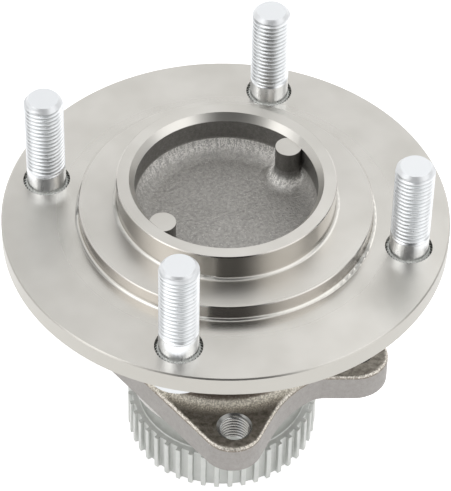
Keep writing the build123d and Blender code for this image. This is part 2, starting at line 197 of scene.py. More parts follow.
class Shader:
    """A material's node tree around one Principled BSDF. Lengths inside it are in millimetres."""

    def __init__(self, name, metallic, roughness, **fixed):
        self.material = bpy.data.materials.new(name)
        self.material.use_nodes = True
        self.tree = self.material.node_tree
        self.tree.nodes.clear()
        self.surface = self.tree.nodes.new("ShaderNodeBsdfPrincipled")
        output = self.tree.nodes.new("ShaderNodeOutputMaterial")
        self.tree.links.new(self.surface.outputs[0], output.inputs[0])
        self.surface.inputs["Metallic"].default_value = metallic
        self.surface.inputs["Roughness"].default_value = roughness
        for socket, value in fixed.items():
            self.surface.inputs[socket.replace("_", " ")].default_value = value
        place = self.tree.nodes.new("ShaderNodeTexCoord").outputs["Object"]
        grow = self.tree.nodes.new("ShaderNodeVectorMath")
        grow.operation = "SCALE"
        grow.inputs["Scale"].default_value = 1 / MM
        self.tree.links.new(place, grow.inputs[0])
        self.place = grow.outputs[0]
        split = self.tree.nodes.new("ShaderNodeSeparateXYZ")
        self.tree.links.new(self.place, split.inputs[0])
        self.x, self.y, self.z = split.outputs
        self.radius = self.distance(0.0, 0.0)

    def put(self, socket, value):
        """Links a socket or sets a number or colour."""
        if isinstance(value, bpy.types.NodeSocket):
            self.tree.links.new(value, socket)
        else:
            socket.default_value = value

    def math(self, operation, a, b=0.0):
        node = self.tree.nodes.new("ShaderNodeMath")
        node.operation = operation
        self.put(node.inputs[0], a)
        self.put(node.inputs[1], b)
        return node.outputs[0]

    def both(self, a, b):
        """Product of two masks, or of a mask and a share."""
        return self.math("MULTIPLY", a, b)

    def either(self, a, b):
        """The greater of two masks."""
        return self.math("MAXIMUM", a, b)

    def less(self, mask):
        """What a mask leaves of 1."""
        return self.math("SUBTRACT", 1.0, mask)

    def distance(self, x, y):
        """Distance from an upright line through (x, y)."""
        across = self.math("SUBTRACT", self.x, x)
        along = self.math("SUBTRACT", self.y, y)
        return self.length(across, along)

    def length(self, across, along):
        """Length of the slant over two legs."""
        squares = self.math("ADD", self.both(across, across), self.both(along, along))
        return self.math("SQRT", squares)

    def combine(self, x, y, z):
        node = self.tree.nodes.new("ShaderNodeCombineXYZ")
        for socket, value in zip(node.inputs, (x, y, z)):
            self.put(socket, value)
        return node.outputs[0]

    def noise(self, per_mm, detail=2.0, roughness=0.5, place=None):
        node = self.tree.nodes.new("ShaderNodeTexNoise")
        self.put(node.inputs["Vector"], self.place if place is None else place)
        node.inputs["Scale"].default_value = per_mm
        node.inputs["Detail"].default_value = detail
        node.inputs["Roughness"].default_value = roughness
        return node.outputs["Fac"]

    def spread(self, value, from_low, from_high, to_low=0.0, to_high=1.0):
        """Maps a value from one range to another, clamped."""
        node = self.tree.nodes.new("ShaderNodeMapRange")
        for socket, number in zip(node.inputs, (value, from_low, from_high, to_low, to_high)):
            self.put(socket, number)
        return node.outputs[0]

    def band(self, value, low, high, soft):
        """1 between low and high, fading over soft outside them."""
        rise = self.spread(value, low - soft, low)
        fall = self.spread(value, high, high + soft, 1.0, 0.0)
        return self.both(rise, fall)

    def mix(self, factor, a, b):
        """Mix of two colours."""
        node = self.tree.nodes.new("ShaderNodeMix")
        node.data_type = "RGBA"
        sockets = [s for s in node.inputs if s.type == "RGBA"]
        self.put(node.inputs[0], factor)
        self.put(sockets[0], a)
        self.put(sockets[1], b)
        return next(s for s in node.outputs if s.type == "RGBA")

    def blend(self, factor, a, b):
        """Mix of two numbers."""
        node = self.tree.nodes.new("ShaderNodeMix")
        self.put(node.inputs[0], factor)
        self.put(node.inputs[2], a)
        self.put(node.inputs[3], b)
        return node.outputs[0]

    def bump(self, height, depth_mm):
        """Relief whose height runs from 0 to 1 over depth_mm."""
        node = self.tree.nodes.new("ShaderNodeBump")
        node.inputs["Distance"].default_value = depth_mm * MM
        self.put(node.inputs["Height"], height)
        return node.outputs[0]

    def lathe_lines(self, per_mm):
        """Noise that is the same all the way round the axis, as a lathe tool leaves."""
        place = self.combine(self.both(self.radius, per_mm), self.both(self.z, per_mm), 0.0)
        return self.noise(1.0, 2.0, 0.6, place)

    def brush_round(self):
        """Turns the anisotropy along circles about Z."""
        node = self.tree.nodes.new("ShaderNodeTangent")
        node.direction_type = "RADIAL"
        node.axis = "Z"
        self.tree.links.new(node.outputs[0], self.surface.inputs["Tangent"])

    def finish(self, colour, roughness, normal):
        self.put(self.surface.inputs["Base Color"], colour)
        self.put(self.surface.inputs["Roughness"], roughness)
        self.put(self.surface.inputs["Normal"], normal)
        return self.material


def turned_steel():
    """Satin turned steel, with the blasted forging left inside the pilot."""
    s = Shader("turned_steel", 1.0, 0.3, Anisotropic=0.5, Anisotropic_Rotation=0.25)
    s.brush_round()
    cloud = s.noise(0.06, 2.0)
    pilot = s.both(s.band(s.radius, PILOT_R - 0.2, PILOT_R + 0.2, 0.1),
                   s.band(s.z, STEP_TOP + 1.0, PILOT_TOP - 0.2, 0.4))
    land = s.both(s.band(s.radius, STEP_R - 0.2, STEP_R + 0.2, 0.1),
                  s.band(s.z, 0.9, STEP_TOP - 0.2, 0.2))
    steel = s.mix(s.spread(cloud, 0.35, 0.65), rgb(0.66, 0.642, 0.60), rgb(0.73, 0.712, 0.672))
    steel = s.mix(s.math("ADD", pilot, land), steel, rgb(0.50, 0.475, 0.445))
    steel = s.mix(s.spread(s.radius, FLANGE_R - 0.5, FLANGE_R - 0.2), steel, rgb(0.50, 0.485, 0.45))
    rough = s.spread(cloud, 0.3, 0.7, 0.30, 0.34)
    rough = s.blend(s.band(s.radius, STEP_R + 0.2, STEP_R + 6.0, 3.0), rough, 0.25)
    rough = s.blend(land, s.blend(pilot, rough, 0.12), 0.19)

    # The pocket: a painted highlight over one arc where its floor turns up and at the feet of the lugs, with
    # painted glints, and painted shade on the lugs' sides and its wall
    inside = s.both(s.band(s.radius, -1.0, POCKET_R, 0.1), s.band(s.z, -1.5, POCKET_TOP, 0.05))
    grit = s.noise(0.9, 4.0, 0.7)
    speck = s.noise(2.2, 1.0)
    forged = s.mix(s.spread(grit, 0.35, 0.7), rgb(0.35, 0.34, 0.325), rgb(0.52, 0.505, 0.48))
    forged = s.mix(s.spread(speck, 0.62, 0.74, 0.0, 0.8), forged, rgb(0.66, 0.65, 0.62))
    bearing = s.math("ARCTAN2", s.y, s.x)
    bowl = s.both(s.spread(s.z, 0.6, 2.4), s.spread(s.z, 4.9, 5.3, 1.0, 0.0))
    # Painted highlight: the turned-up floor is painted brighter over one arc of bearings
    bowl = s.both(bowl, s.blend(s.band(bearing, 0.3, 1.8, 0.6), 0.3, 1.0))
    # Painted highlight at the feet of the lugs, painted shade on their sides
    lugs = lug_foot_highlight = 0.0
    for turn in (LUG_PHASE, LUG_PHASE + math.pi):
        near = s.distance(LUG_CIRCLE_R * math.cos(turn), LUG_CIRCLE_R * math.sin(turn))
        lugs = s.either(lugs, s.spread(near, LUG_R + 0.1, LUG_R + 0.6, 0.75, 0.0))
        lug_foot_highlight = s.either(lug_foot_highlight, s.spread(near, LUG_R + 1.4, LUG_R + 2.8, 1.0, 0.0))
    bowl = s.either(bowl, s.both(lug_foot_highlight, s.spread(s.z, 3.6, 4.0, 1.0, 0.0)))
    strokes = s.combine(s.both(bearing, STREAKS_PER_RAD), s.both(s.radius, 0.4), 0.0)
    # Painted glints: specks and strokes that sparkle over the painted highlight
    painted_glints = s.spread(s.math("ADD", speck, s.noise(1.0, 2.0, 0.6, strokes)), 0.86, 1.12, 0.2, 1.0)
    forged = s.mix(s.both(bowl, painted_glints), forged, rgb(1.0, 0.98, 0.945))
    # Painted shade on the lugs' sides and over the top of the pocket's wall
    shade = s.either(lugs, s.spread(s.z, 4.8, 6.0, 0.0, 0.55))
    forged = s.mix(shade, forged, rgb(0.13, 0.125, 0.115))
    rough = s.blend(inside, rough, 0.5)
    s.put(s.surface.inputs["Metallic"], s.less(s.both(s.both(bowl, inside), 0.85)))

    # Fine turning lines on the machined faces, coarse relief in the pocket
    turning = s.both(s.lathe_lines(2.2), s.blend(inside, 0.002, 0.0))
    relief = s.both(s.math("ADD", grit, s.both(speck, 0.4)), inside)
    return s.finish(s.mix(inside, steel, forged), rough, s.bump(s.math("ADD", turning, relief), 0.3))


def stud_distance(s):
    """Distance from the nearest stud's axis; its parts outward and sideways are kept as s.out and s.side."""
    cosine, sine = math.cos(math.radians(-STUD_PHASE)), math.sin(math.radians(-STUD_PHASE))
    across = s.math("SUBTRACT", s.both(s.x, cosine), s.both(s.y, sine))
    along = s.math("ADD", s.both(s.x, sine), s.both(s.y, cosine))
    across, along = s.math("ABSOLUTE", across), s.math("ABSOLUTE", along)
    s.out = s.math("SUBTRACT", s.either(across, along), STUD_CIRCLE_R)
    s.side = s.math("MINIMUM", across, along)
    return s.length(s.out, s.side)


def zinc_plate():
    """Bright zinc plating, dull on the tip's cone, the head and the knurled collar, with painted shade in the
    thread roots and between the knurls.
    """
    s = Shader("zinc_plate", 1.0, 0.2)
    away = stud_distance(s)
    # Masks: painted shade in the thread roots, head, knurled collar, tip's face and cone, painted shade in the
    # grooves between the knurls
    root = s.both(s.spread(away, 5.2, 5.8, 0.8, 0.0), s.band(s.z, NECK_TOP, STUD_TOP - 2.0, 0.4))
    head = s.band(s.z, -FLANGE_T - 2 * HEAD_T, -FLANGE_T, 0.05)
    collar = s.band(s.z, -FLANGE_T + 0.2, -0.3, 0.3)
    tip = s.band(s.z, STUD_TOP - 0.05, STUD_TOP + 1.0, 0.02)
    cone = s.band(s.z, STUD_TOP - STUD_TIP_H, STUD_TOP + 1.0, 0.2)
    # Painted shade in the grooves between the knurls
    wave = s.math("SINE", s.both(s.math("ARCTAN2", s.side, s.out), KNURLS))
    grooves = s.both(s.spread(wave, -0.1, 0.3), s.spread(away, 6.3, 6.6))
    knurled = s.mix(grooves, rgb(0.90, 0.92, 0.90), rgb(0.12, 0.125, 0.12))
    bright = s.mix(s.spread(s.noise(0.4, 3.0), 0.3, 0.7), rgb(0.82, 0.84, 0.86), rgb(0.91, 0.925, 0.94))
    colour = s.mix(cone, bright, rgb(0.80, 0.815, 0.83))
    # Painted shade in the thread roots
    colour = s.mix(root, colour, rgb(0.50, 0.51, 0.50))
    colour = s.mix(tip, colour, rgb(0.88, 0.90, 0.92))
    colour = s.mix(collar, colour, knurled)
    colour = s.mix(head, colour, rgb(0.68, 0.695, 0.71))
    matt = s.either(s.both(collar, 0.75), s.both(cone, 0.4))
    s.put(s.surface.inputs["Metallic"], s.less(matt))
    rough = s.spread(s.noise(0.8), 0.3, 0.7, 0.27, 0.32)
    rough = s.blend(tip, s.blend(cone, rough, 0.40), 0.5)
    return s.finish(colour, rough, s.bump(s.noise(0.7), 0.003))


def forged_steel():
    """Outer ring: blasted brown forging, plate face darkened by oil and painted shade, worn edge with a
    painted highlight, machined spigot and tapped holes, painted shade at the barrel's foot and in the holes'
    thread roots.
    """
    s = Shader("forged_steel", 0.8, 0.5)
    grit = s.noise(0.9, 4.0, 0.65)
    speck = s.noise(2.0, 1.0)
    # Masks: painted shade at the foot of the barrel, bright fillet, plate's sides, face darkened by oil and
    # painted shade, worn edge with a painted highlight, machined places
    barrel_foot_shade = s.both(s.spread(s.z, PLATE_TOP + 1.6, PLATE_TOP + 2.8),
                  s.spread(s.z, PLATE_TOP + 6.0, PLATE_TOP + 16.0, 0.7, 0.25))
    fillet = s.both(s.band(s.z, PLATE_TOP - 0.3, PLATE_TOP + 1.2, 0.7),
                    s.spread(speck, 0.4, 0.6, 0.35, 0.95))
    sides = s.band(s.z, PLATE_UNDER - 0.02, PLATE_TOP - EDGE_ROUND, 0.1)
    # Face darkened by oil and by painted shade under the flange
    oil_and_shade = s.both(s.band(s.z, PLATE_TOP - 0.1, PLATE_TOP + 0.3, 0.1),
                  s.spread(s.radius, BAND_R, BAND_R + 2.6))
    # Worn edge of the plate, with a painted highlight along it
    edge = s.both(s.band(s.z, PLATE_TOP - 0.6, PLATE_TOP - 0.2, 0.2),
                  s.band(s.radius, BAND_R, 60.0, 0.8))
    spigot = s.band(s.z, -75.0, PLATE_UNDER - 0.02, 0.02)
    holes = bolt_hole_mask(s, HOLE_MOUTH_R, HOLE_MOUTH_R + 0.05)
    # Painted shade in the thread roots of the tapped holes
    root = s.both(bolt_hole_mask(s, HOLE_R + 0.15, HOLE_ROOT_R - 0.1),
                  s.band(s.z, -80.0, PLATE_TOP - 1.1, 0.1))
    side = s.mix(s.noise(0.5, 4.0, 0.6), rgb(0.31, 0.295, 0.28), rgb(0.43, 0.41, 0.395))
    oil_and_shade_tone = s.spread(s.noise(0.6, 4.0, 0.6), 0.35, 0.65)
    oil_and_shade_tone = s.mix(oil_and_shade_tone, rgb(0.15, 0.135, 0.115), rgb(0.32, 0.30, 0.265))
    colour = s.mix(s.spread(grit, 0.35, 0.68), rgb(0.19, 0.16, 0.13), rgb(0.34, 0.305, 0.265))
    colour = s.mix(s.spread(speck, 0.6, 0.72, 0.0, 0.8), colour, rgb(0.80, 0.76, 0.70))
    # Painted shade at the foot of the barrel
    colour = s.mix(barrel_foot_shade, colour, rgb(0.09, 0.07, 0.055))
    colour = s.mix(fillet, colour, rgb(0.80, 0.76, 0.67))
    colour = s.mix(sides, colour, side)
    colour = s.mix(oil_and_shade, colour, oil_and_shade_tone)
    # Painted highlight, speckled, on the worn edge
    colour = s.mix(s.both(edge, s.spread(speck, 0.42, 0.6, 0.1, 1.0)), colour, rgb(0.88, 0.83, 0.76))
    colour = s.mix(spigot, colour, rgb(0.56, 0.55, 0.53))
    colour = s.mix(holes, colour, s.mix(root, rgb(0.26, 0.26, 0.25), rgb(0.74, 0.74, 0.73)))
    rough = s.spread(s.noise(1.8), 0.3, 0.7, 0.42, 0.6)
    rough = s.blend(s.either(oil_and_shade, edge), rough, 0.38)
    rough = s.blend(s.either(holes, spigot), rough, 0.25)
    calm = s.less(s.either(s.both(sides, 0.75), s.either(holes, spigot)))
    return s.finish(colour, rough, s.bump(s.both(grit, calm), 0.25))


def bolt_hole_mask(s, full, none):
    """1 nearer than full to the axis of a tapped hole, fading to 0 at none."""
    found = 0.0
    for x in (-HOLE_X, HOLE_X):
        for y in (-HOLE_Y, HOLE_Y):
            found = s.math("ADD", found, s.spread(s.distance(x, y), full, none, 1.0, 0.0))
    return found


def ring_steel():
    """Satin sintered ring with a faint green-grey tone, and painted shade on the collar and between the teeth.
    """
    s = Shader("ring_steel", 0.5, 0.42)
    # Painted shade: the collar under the plate and the gaps between the teeth are darkened
    collar = s.both(s.band(s.z, RIM_Z + 0.4, 0.0, 0.3), s.band(s.radius, 0.0, RING_COLLAR_R + 0.1, 0.3))
    gap = s.both(s.spread(s.radius, ROOT_R + 0.2, TIP_R - 0.3, 0.3, 0.0),
                 s.band(s.z, -200.0, RIM_Z - 0.15, 0.1))
    colour = s.mix(s.spread(s.noise(0.25, 3.0), 0.3, 0.7), rgb(0.70, 0.715, 0.69), rgb(0.77, 0.78, 0.755))
    colour = s.mix(s.either(collar, gap), colour, rgb(0.42, 0.43, 0.405))
    return s.finish(colour, s.spread(s.noise(1.2), 0.3, 0.7, 0.36, 0.48), s.bump(s.noise(2.0, 3.0), 0.012))


def polished_steel():
    """Ground balls and inner ring."""
    s = Shader("polished_steel", 1.0, 0.12)
    colour = s.mix(s.noise(0.5), grey(0.62), grey(0.72))
    return s.finish(colour, s.spread(s.noise(1.0), 0.3, 0.7, 0.1, 0.18), s.bump(s.lathe_lines(3.0), 0.004))


def pressed_steel():
    """Seal cases and slinger."""
    s = Shader("pressed_steel", 1.0, 0.35)
    colour = s.mix(s.noise(0.4, 3.0), rgb(0.44, 0.44, 0.43), rgb(0.58, 0.58, 0.56))
    return s.finish(colour, s.spread(s.noise(1.5), 0.3, 0.7, 0.3, 0.45), s.bump(s.noise(1.2), 0.02))


def seal_rubber():
    s = Shader("seal_rubber", 0.0, 0.6)
    colour = s.mix(s.noise(0.8, 3.0), grey(0.018), grey(0.04))
    return s.finish(colour, s.spread(s.noise(1.2), 0.3, 0.7, 0.5, 0.7), s.bump(s.noise(2.5, 3.0), 0.02))


def cage_plastic():
    s = Shader("cage_plastic", 0.0, 0.5)
    colour = s.mix(s.noise(0.6, 3.0), rgb(0.05, 0.05, 0.045), rgb(0.09, 0.088, 0.08))
    return s.finish(colour, s.spread(s.noise(1.0), 0.3, 0.7, 0.42, 0.6), s.bump(s.noise(2.0, 3.0), 0.02))


def phosphate_steel():
    """Spindle nut."""
    s = Shader("phosphate_steel", 0.9, 0.5)
    colour = s.mix(s.noise(0.9, 4.0, 0.7), rgb(0.16, 0.16, 0.155), rgb(0.30, 0.30, 0.29))
    return s.finish(colour, s.spread(s.noise(1.5), 0.3, 0.7, 0.42, 0.6), s.bump(s.noise(1.8, 3.0), 0.04))


def paint(node, material):
    """Gives a CAD node its material."""
    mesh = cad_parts[node].data
    mesh.materials.clear()
    mesh.materials.append(material)


class Skin:
    """Rows of points round an upright axis that become one closed mesh. Sizes are in millimetres."""

    def __init__(self, angles):
        self.angles = angles
        self.columns = len(angles)
        self.points = []
        self.faces = []
        self.caps = []

    def rows(self):
        return len(self.points) // self.columns

    def loop(self, places, height):
        """Adds a row from (x, y) places."""
        self.points += [(x, y, height) for x, y in places]

    def row(self, radius, height):
        """Adds a row; radius and height are numbers or functions of the column's angle."""
        for angle in self.angles:
            r = radius(angle) if callable(radius) else radius
            z = height(angle) if callable(height) else height
            self.points.append((r * math.cos(angle), r * math.sin(angle), z))

    def join(self, first, second):
        """Faces between two rows."""
        for column in range(self.columns):
            after = (column + 1) % self.columns
            a, b = first * self.columns, second * self.columns
            self.faces.append((a + column, a + after, b + after, b + column))

    def join_all(self, closed=False):
        for row in range(self.rows() - 1):
            self.join(row, row + 1)
        if closed:
            self.join(self.rows() - 1, 0)

    def helix(self, radius, pitch, bottom, top, steps=8):
        """Adds rows that follow a thread up from bottom to top; radius is a function of height and phase."""
        first = self.rows()
        count = math.ceil((top - bottom) / pitch * steps) + steps
        for row in range(count + 1):
            for angle in self.angles:
                turn = angle / (2 * math.pi)
                z = min(max(bottom - pitch + pitch * (row / steps + turn), bottom), top)
                r = radius(z, ((z - bottom) / pitch - turn) % 1.0)
                self.points.append((r * math.cos(angle), r * math.sin(angle), z))
        for row in range(first, first + count):
            for column in range(self.columns):
                a, b = row * self.columns + column, (row + 1) * self.columns + column
                if column < self.columns - 1:
                    self.faces.append((a, a + 1, b + 1, b))
                elif row + steps + 1 <= first + count:
                    lead = (row + steps) * self.columns
                    self.faces.append((a, lead, lead + self.columns, b))

    def closed(self):
        """Points and faces, with a fan over each capped row."""
        points, faces = list(self.points), list(self.faces)
        for row, height in self.caps:
            centre = len(points)
            points.append((0.0, 0.0, height))
            for column in range(self.columns):
                after = (column + 1) % self.columns
                faces.append((row * self.columns + column, row * self.columns + after, centre))
        return points, faces


def even_angles(count):
    return [2 * math.pi * i / count for i in range(count)]


def raw_mesh(name, skin, moves=(Matrix.Identity(4),)):
    """A welded mesh of a skin, one copy for each move, with its normals out."""
    mesh = bpy.data.meshes.new(name)
    points, faces = [], []
    skin_points, skin_faces = skin.closed()
    for move in moves:
        start = len(points)
        points += [(move @ Vector(p)) * MM for p in skin_points]
        faces += [tuple(start + corner for corner in face) for face in skin_faces]
    mesh.from_pydata(points, [], faces)
    welded = bmesh.new()
    welded.from_mesh(mesh)
    bmesh.ops.remove_doubles(welded, verts=welded.verts, dist=WELD)
    bmesh.ops.dissolve_degenerate(welded, edges=welded.edges, dist=WELD)
    bmesh.ops.recalc_face_normals(welded, faces=welded.faces)
    welded.to_mesh(mesh)
    welded.free()
    return mesh


def add_piece(mesh, material, body, node):
    """Makes a mesh the piece that stands for a CAD node."""
    mesh.materials.clear()
    mesh.materials.append(material)
    mesh.shade_smooth()
    mesh.set_sharp_from_angle(angle=SHARP_ANGLE)
    piece = bpy.data.objects.new(mesh.name, mesh)
    bpy.context.scene.collection.objects.link(piece)
    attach(piece, body)
    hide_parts(node)
    return piece


def cut(mesh, cutter_mesh):
    """The mesh with the cutter's shape taken out."""
    scene = bpy.context.scene
    blank = bpy.data.objects.new("blank", mesh)
    cutter = bpy.data.objects.new("cutter", cutter_mesh)
    for item in (blank, cutter):
        scene.collection.objects.link(item)
    step = blank.modifiers.new("cut", "BOOLEAN")
    step.operation = "DIFFERENCE"
    step.solver = "EXACT"
    step.object = cutter
    ready = blank.evaluated_get(bpy.context.evaluated_depsgraph_get())
    result = bpy.data.meshes.new_from_object(ready)
    result.name = mesh.name
    for item in (blank, cutter):
        bpy.data.objects.remove(item)
    return result


def thread_share(phase):
    """Height of a 60 degree thread over one turn, from 0 at the rounded root to 1 at the flat crest."""
    slope = 1.0 - abs(2.0 * phase - 1.0)
    share = min(max((slope - 0.14) / 0.70, 0.0), 1.0)
    return 0.65 * share + 0.35 * share * share * (3.0 - 2.0 * share)


def stud_skin():
    """One stud: rolled thread, plain neck, knurled collar and flat head."""
    skin = Skin(even_angles(3 * KNURLS))

    def knurl(full, deep):
        """Size of the collar at a column: full on a ridge, deep in a groove."""
        return lambda angle: deep if round(angle * 3 * KNURLS / (2 * math.pi)) % 3 == 0 else full

    def wall(z, phase):
        begun = min(max((z - NECK_TOP) / STUD_PITCH, 0.0), 1.0)
        depth = (STUD_R - STUD_ROOT_R) * (1.0 - thread_share(phase)) * begun
        tip = STUD_R - STUD_TIP_IN * max(z - STUD_TOP + STUD_TIP_H, 0.0) / STUD_TIP_H
        return min(STUD_R - depth, tip)

    head_end = -FLANGE_T - HEAD_T
    skin.row(HEAD_R - HEAD_BREAK_IN, head_end)
    skin.row(HEAD_R, head_end + HEAD_BREAK_H)
    skin.row(HEAD_R, -FLANGE_T - FINE_EDGE)
    skin.row(HEAD_R - FINE_EDGE, -FLANGE_T)
    skin.row(knurl(COLLAR_R, COLLAR_R - KNURL_DEPTH), -FLANGE_T)
    skin.row(knurl(COLLAR_R, COLLAR_R - KNURL_DEPTH), knurl(COLLAR_TOP, COLLAR_TOP - KNURL_DEPTH))
    skin.row(COLLAR_CONE_R, knurl(COLLAR_CONE_TOP, COLLAR_CONE_TOP - KNURL_DEPTH))
    skin.row(STUD_R, COLLAR_CONE_TOP + FINE_EDGE)
    skin.row(STUD_R, NECK_TOP)
    skin.join_all()
    skin.helix(wall, STUD_PITCH, NECK_TOP, STUD_TOP)
    skin.caps = [(0, head_end), (skin.rows() - 1, STUD_TOP)]
    return skin


def threaded_studs(material):
    moves = []
    for number in range(4):
        angle = math.radians(STUD_PHASE + 90.0 * number)
        place = Vector((STUD_CIRCLE_R * math.cos(angle), STUD_CIRCLE_R * math.sin(angle), 0.0))
        moves.append(Matrix.Translation(place) @ Matrix.Rotation(STUD_TURN * number, 4, "Z"))
    mesh = raw_mesh("threaded_studs", stud_skin(), moves)
    return add_piece(mesh, material, "hub", "wheel_studs")


def plate_outline():
    """(x, y) places round the plate: two bolt lobes and a waist at each end, the second half turned over."""
    trim = Vector((TRIM_LOBE_R - SIDE_X, TRIM_LOBE_Y))
    full = Vector((SIDE_X - FULL_LOBE_R, FULL_LOBE_Y))
    trim_end = trim + TRIM_LOBE_R * Vector((math.sin(TRIM_FLANK), -math.cos(TRIM_FLANK)))
    full_end = full - FULL_LOBE_R * Vector((math.sin(FULL_FLANK), math.cos(FULL_FLANK)))
    wide_x = trim_end.x + (WAIST_Y - trim_end.y) / math.tan(TRIM_FLANK)
    wide_x += WIDE_ROUND * math.tan(TRIM_FLANK / 2)
    tight_x = full_end.x - (WAIST_Y - full_end.y) / math.tan(FULL_FLANK)
    tight_x -= TIGHT_ROUND * math.tan(FULL_FLANK / 2)
    right = math.pi / 2
    arcs = [
        (trim, TRIM_LOBE_R, -math.pi, TRIM_FLANK - right),
        (Vector((wide_x, WAIST_Y - WIDE_ROUND)), WIDE_ROUND, right + TRIM_FLANK, right),
        (Vector((tight_x, WAIST_Y - TIGHT_ROUND)), TIGHT_ROUND, right, right - FULL_FLANK),
        (full, FULL_LOBE_R, -right - FULL_FLANK, 0.0),
    ]
    half = []
    for centre, radius, start, end in arcs:
        for step in range(41):
            turn = start + (end - start) * step / 40
            half.append((centre.x + radius * math.cos(turn), centre.y + radius * math.sin(turn)))
    return half + [(-x, -y) for x, y in half]


PLATE = sorted((math.atan2(y, x), x, y) for x, y in plate_outline())


@functools.cache
def plate_radius(angle):
    """Distance from the axis to the plate's outline."""
    turn = math.remainder(angle, 2 * math.pi)
    after = bisect.bisect(PLATE, (turn,)) % len(PLATE)
    (_, ax, ay), (_, bx, by) = PLATE[after - 1], PLATE[after]
    across = math.cos(turn) * (by - ay) - math.sin(turn) * (bx - ax)
    return (ax * by - ay * bx) / across


def lumps(angle, radius, height, fine, coarse):
    """Forging roughness in millimetres at a point of the ring."""
    place = Vector((radius * math.cos(angle), radius * math.sin(angle), height))
    return fine * noise.noise(place * FINE_GRAIN) + coarse * noise.noise(place * COARSE_GRAIN)


def plate_top_row(skin, kind, share):
    """A row over the plate's top: the band against the barrel, the face, then the rounded edge."""
    fillet = BAND_R - BARREL_R

    def radius(angle):
        rim = plate_radius(angle)
        band = min(BAND_R, rim - EDGE_ROUND / 2)
        face = max(band, rim - EDGE_ROUND)
        if kind == "band":
            return BARREL_R + (band - BARREL_R) * share
        if kind == "face":
            return band + (face - band) * share
        return face + (rim - face) * math.sin(share * math.pi / 2)

    def height(angle):
        r = radius(angle)
        hollow = max(BAND_R - r, 0.0)
        rise = fillet - math.sqrt(max(fillet ** 2 - hollow ** 2, 0.0))
        inside = min(plate_radius(angle) - r, EDGE_ROUND)
        drop = EDGE_ROUND - math.sqrt(max(EDGE_ROUND ** 2 - (EDGE_ROUND - inside) ** 2, 0.0))
        rough = {"band": BAND_ROUGH, "face": FACE_ROUGH, "edge": EDGE_ROUGH}[kind]
        return PLATE_TOP + rise - drop + lumps(angle, r, PLATE_TOP, rough, rough)

    skin.row(radius, height)


def race_rows(skin, row_z, towards_middle):
    """The ball groove's arc, from its inboard edge up."""
    centre_r = BALL_CIRCLE_R - GROOVE_OFF * math.cos(CONTACT_ANGLE)
    centre_z = row_z - towards_middle * GROOVE_OFF * math.sin(CONTACT_ANGLE)
    low = math.asin((HIGH_OUTER_R - centre_r) / GROOVE_R)
    high = math.asin((LOW_OUTER_R - centre_r) / GROOVE_R)
    start, end = (high, math.pi - low) if towards_middle > 0 else (low, math.pi - high)
    for step in range(13):
        angle = start + (end - start) * step / 12
        skin.row(centre_r + GROOVE_R * math.sin(angle), centre_z - GROOVE_R * math.cos(angle))


def outer_ring_skin():
    """Barrel, plate, spigot and races as one closed skin with forging roughness on its outside."""
    skin = Skin(even_angles(RING_COLUMNS))

    def barrel(height):
        return lambda angle: BARREL_R + lumps(angle, BARREL_R, height, BAND_ROUGH / 2, BAND_ROUGH)

    def side(height):
        def radius(angle):
            rim = plate_radius(angle)
            return rim + lumps(angle, rim, height, SIDE_ROUGH, SIDE_ROUGH)
        return radius

    skin.row(LOW_OUTER_R + EDGE, OUTER_TOP)
    skin.row(BARREL_R - LEAD, OUTER_TOP)
    skin.row(BARREL_R, OUTER_TOP - LEAD)
    band_top = PLATE_TOP + BAND_R - BARREL_R
    for step in range(1, 29):
        height = OUTER_TOP - LEAD + (band_top - OUTER_TOP + LEAD) * step / 29
        skin.row(barrel(height), height)
    for step in range(9):
        plate_top_row(skin, "band", step / 8)
    for step in range(1, 9):
        plate_top_row(skin, "face", step / 8)
    for step in range(1, 7):
        plate_top_row(skin, "edge", step / 7)
    side_top = PLATE_TOP - EDGE_ROUND
    for step in range(12):
        height = side_top + (PLATE_UNDER + EDGE - side_top) * step / 11
        skin.row(side(height), height)
    skin.row(lambda angle: plate_radius(angle) - EDGE, PLATE_UNDER)
    skin.row(lambda angle: plate_radius(angle) - 1, PLATE_UNDER)
    skin.row(SPIGOT_R, PLATE_UNDER)
    skin.row(SPIGOT_R, OUTER_END + LEAD)
    skin.row(SPIGOT_R - LEAD, OUTER_END)
    skin.row(LOW_OUTER_R + EDGE, OUTER_END)
    skin.row(LOW_OUTER_R, OUTER_END + EDGE)
    race_rows(skin, INBOARD_ROW_Z, 1)
    race_rows(skin, OUTBOARD_ROW_Z, -1)
    skin.row(LOW_OUTER_R, OUTER_TOP - EDGE)
    skin.join_all(closed=True)
    return skin


def tapped_hole_cutters():
    """Cutters for the four tapped holes, countersunk at the top."""
    skin = Skin(even_angles(60))

    def wall(z, phase):
        thread = HOLE_R + (HOLE_ROOT_R - HOLE_R) * thread_share(phase)
        return max(thread, HOLE_MOUTH_R - PLATE_TOP + z, HOLE_FOOT_R + PLATE_UNDER - z)

    skin.helix(wall, HOLE_PITCH, PLATE_UNDER - LEAD, PLATE_TOP + LEAD)
    skin.caps = [(0, PLATE_UNDER - LEAD), (skin.rows() - 1, PLATE_TOP + LEAD)]
    places = [(x, y) for x in (-HOLE_X, HOLE_X) for y in (-HOLE_Y, HOLE_Y)]
    return raw_mesh("cutters", skin, [Matrix.Translation(Vector((x, y, 0.0))) for x, y in places])


def forged_ring(material):
    mesh = cut(raw_mesh("forged_outer_ring", outer_ring_skin()), tapped_hole_cutters())
    return add_piece(mesh, material, "carrier", "outer_ring")


